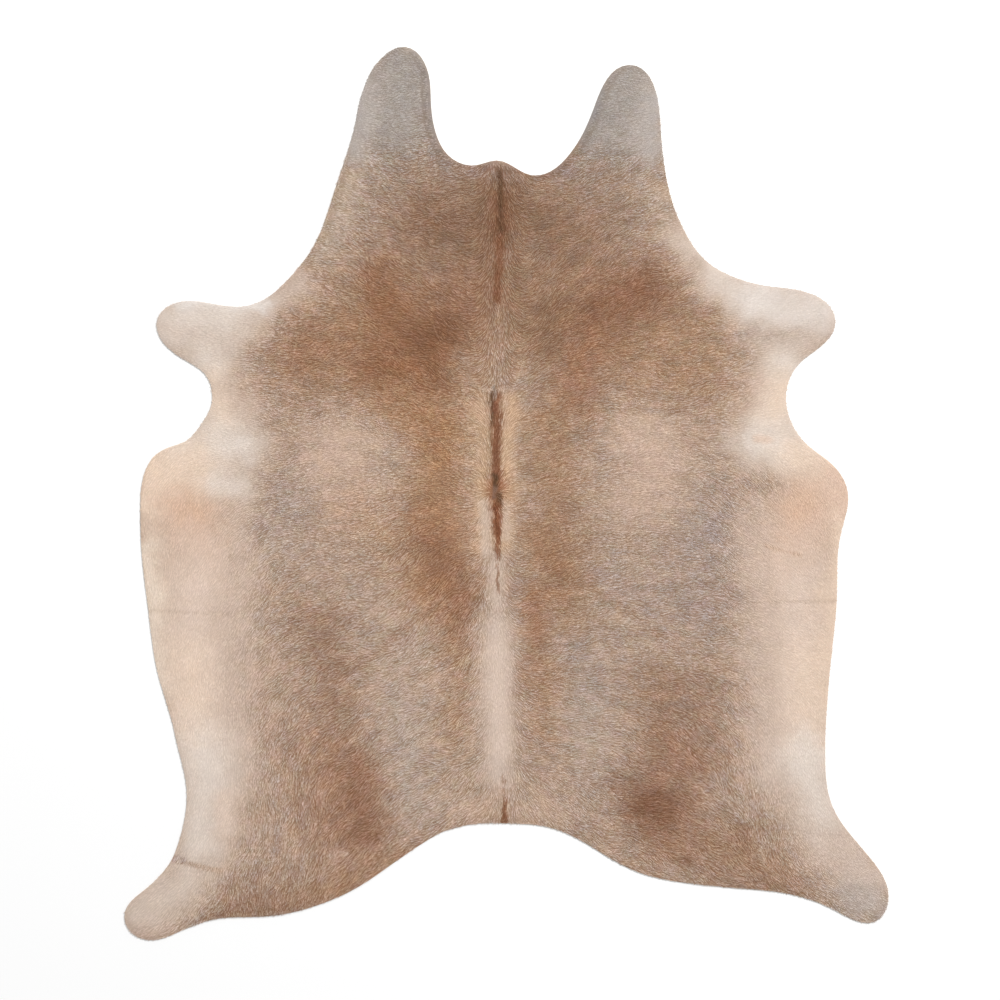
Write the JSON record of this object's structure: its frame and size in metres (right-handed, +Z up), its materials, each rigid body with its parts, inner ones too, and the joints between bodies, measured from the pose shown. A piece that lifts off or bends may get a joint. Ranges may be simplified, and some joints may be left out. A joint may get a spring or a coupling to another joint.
{
  "type": "cowhide rug",
  "caption": "Flat tanned cowhide with its hair on, cut to the skin's natural outline with neck flaps, leg lobes and a tail notch, laid on a floor as a rug.",
  "frame": {"origin": "middle of the hide's footprint, on the plane it lies on", "axes": "+Y along the spine towards the neck flaps, +X towards the right side seen from above with the neck up, +Z up out of the hair side"},
  "size_m": [1.8215, 2.1298, 0.0072],
  "materials": {
    "hair_on_hide": "short flat-lying hair in taupe, warm brown and cream over tanned leather, soft nap with a slight sheen"
  },
  "bodies": {
    "root": {"hide": "hair_on_hide"}
  },
  "joints": []
}
